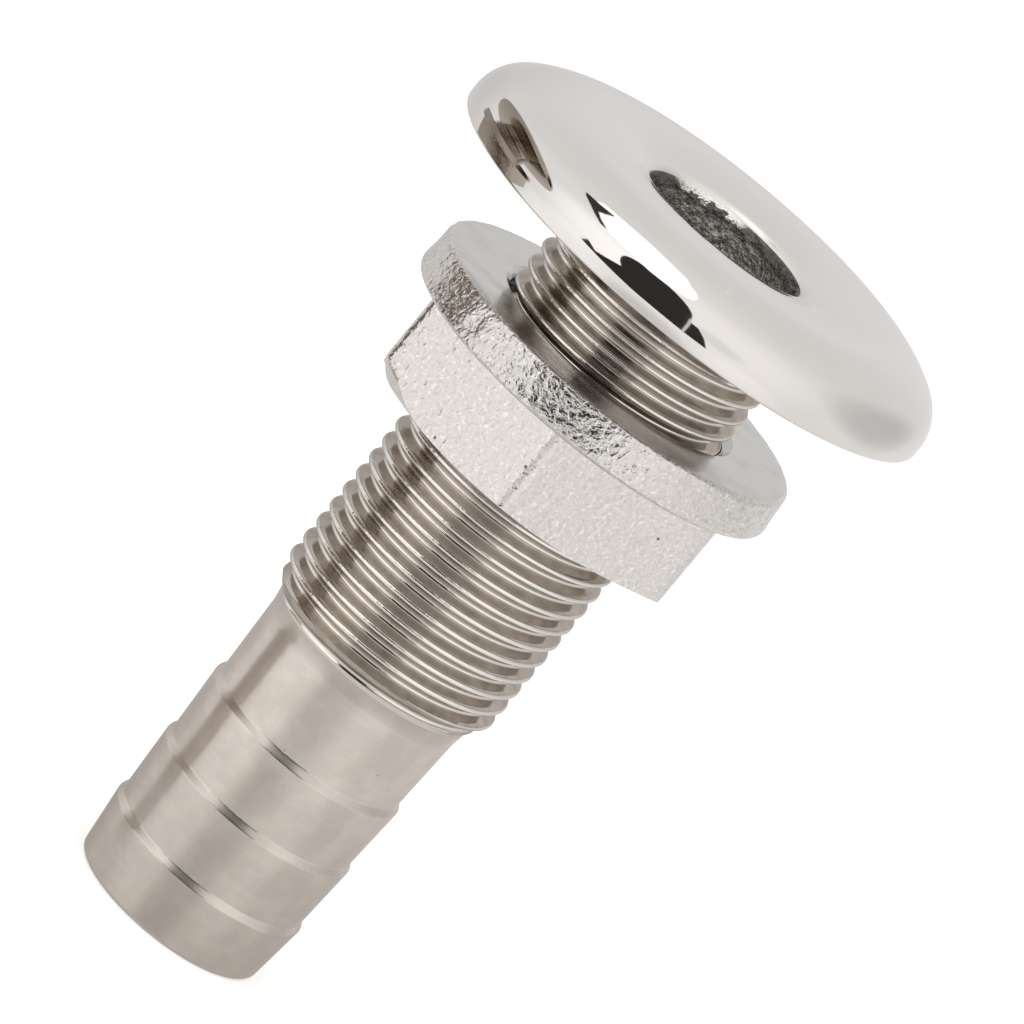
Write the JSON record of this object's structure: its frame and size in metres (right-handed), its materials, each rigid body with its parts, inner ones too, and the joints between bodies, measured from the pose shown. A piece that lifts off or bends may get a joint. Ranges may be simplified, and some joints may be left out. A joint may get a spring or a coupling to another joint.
{
  "type": "thru hull fitting",
  "caption": "Mushroom-head thru-hull fitting with a threaded shank, a barbed hose tail and a flanged hex nut that clamps the hull against the head.",
  "frame": {"origin": "centre of the hose tail's open end, on the shank's axis", "axes": "+Z along the shank towards the mushroom head and out of the hull; one corner of the hex nut points along -Y, and a pair of its flats faces +X and -X"},
  "size_m": [0.0353, 0.0352, 0.0575],
  "materials": {
    "polished_stainless": "mirror-polished head, turned thread, satin turned hose tail, rough as-cast bore",
    "cast_stainless": "bright investment-cast grain, machined flange face"
  },
  "bodies": {
    "thru_hull_body": {"thru_hull_body": "polished_stainless"},
    "flange_nut": {"flange_nut": "cast_stainless"}
  },
  "joints": [
    {"name": "nut_travel", "type": "slide", "parent": "thru_hull_body", "child": "flange_nut", "axis": [0, 0, 1], "range_m": [-0.0141, 0.0071]}
  ]
}
